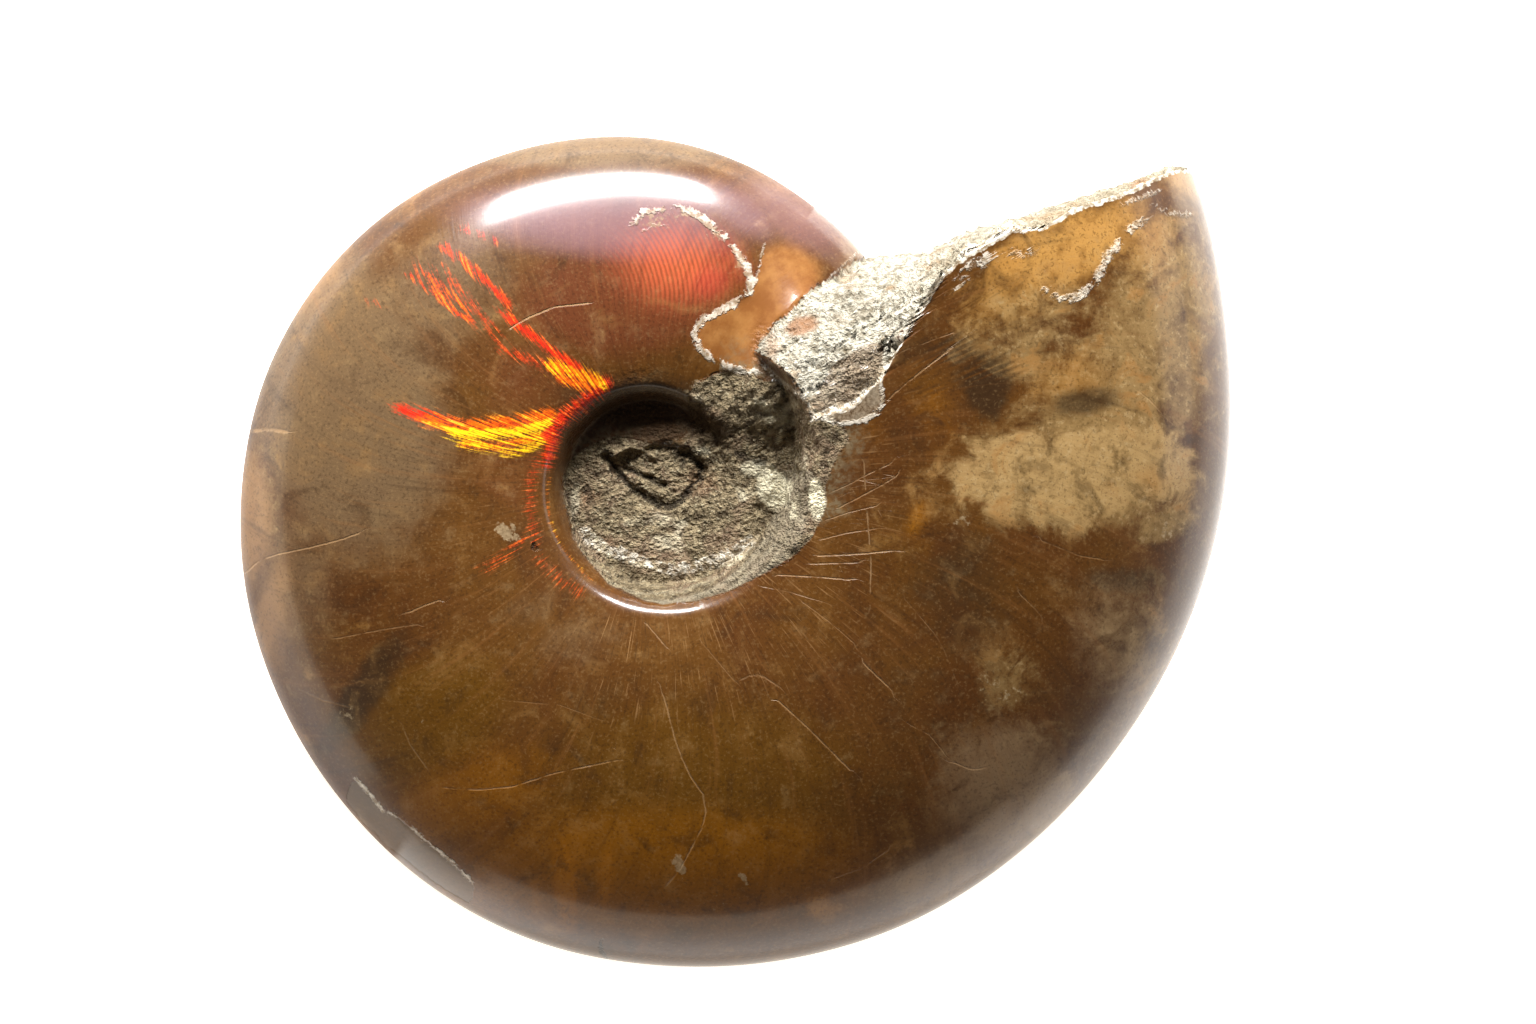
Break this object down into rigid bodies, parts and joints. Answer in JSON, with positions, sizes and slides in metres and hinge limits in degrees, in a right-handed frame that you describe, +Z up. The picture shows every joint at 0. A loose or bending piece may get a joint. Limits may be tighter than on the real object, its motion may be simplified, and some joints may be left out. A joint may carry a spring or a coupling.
{
  "type": "ammonite fossil",
  "caption": "Polished coiled shell fossil with flashes of colour, rough rock in its centre and across its broken mouth; it lies on one flank.",
  "frame": {"origin": "centre of the footprint box, on the surface that the fossil lies on", "axes": "+X across the coil towards the outer side of the body chamber, +Y in the coil's plane towards the broken mouth, +Z up from the flank it lies on"},
  "size_m": [0.1204, 0.1008, 0.0406],
  "materials": {
    "fossil": "polished"
  },
  "bodies": {
    "root": {"ammonite": "fossil"}
  },
  "joints": []
}
